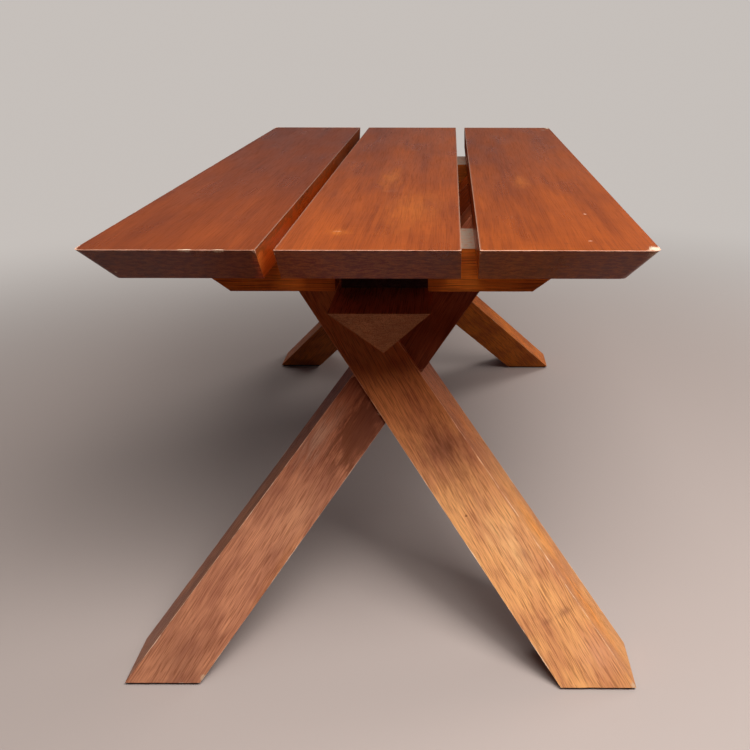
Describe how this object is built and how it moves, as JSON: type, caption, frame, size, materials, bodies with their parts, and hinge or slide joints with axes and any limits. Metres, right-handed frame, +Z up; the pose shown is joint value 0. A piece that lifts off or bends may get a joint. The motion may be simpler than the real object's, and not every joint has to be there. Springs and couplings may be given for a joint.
{
  "type": "sawbuck table",
  "caption": "Sawbuck dining table: slotted plank top with undercut edges, notched cross cleats, and a V-section beam lying in leaning, half-lapped crossed legs.",
  "frame": {"origin": "on the floor under the middle of the top", "axes": "+X across the table, +Y along its length away from the pictured end, +Z up"},
  "size_m": [0.8316, 1.612, 0.72],
  "materials": {
    "top_wood": "satin varnished reddish hardwood with worn pale arrises",
    "leg_wood": "satin open-grained reddish-brown hardwood",
    "frame_wood": "satin varnished reddish-brown hardwood",
    "dowel_wood": "plain beech",
    "pad_felt": "dark pressed felt",
    "screw_steel": "zinc-plated steel"
  },
  "bodies": {
    "root": {"beam_coach_screws_front": "screw_steel", "beam_coach_screws_rear": "screw_steel", "beam_washers_front": "screw_steel", "beam_washers_rear": "screw_steel", "cleat_coach_screws_front": "screw_steel", "cleat_coach_screws_rear": "screw_steel", "cleat_front": "frame_wood", "cleat_rear": "frame_wood", "cleat_washers_front": "screw_steel", "cleat_washers_rear": "screw_steel", "foot_pad_front_left": "pad_felt", "foot_pad_front_right": "pad_felt", "foot_pad_rear_left": "pad_felt", "foot_pad_rear_right": "pad_felt", "head_dowels_front": "dowel_wood", "head_dowels_rear": "dowel_wood", "lap_screws_front": "screw_steel", "lap_screws_rear": "screw_steel", "leg_front_left": "leg_wood", "leg_front_right": "leg_wood", "leg_rear_left": "leg_wood", "leg_rear_right": "leg_wood", "plank_screws_front": "screw_steel", "plank_screws_rear": "screw_steel", "rail": "frame_wood", "rail_screws": "screw_steel", "top_plank_left": "top_wood", "top_plank_middle": "top_wood", "top_plank_right": "top_wood", "v_beam": "frame_wood"}
  },
  "joints": []
}
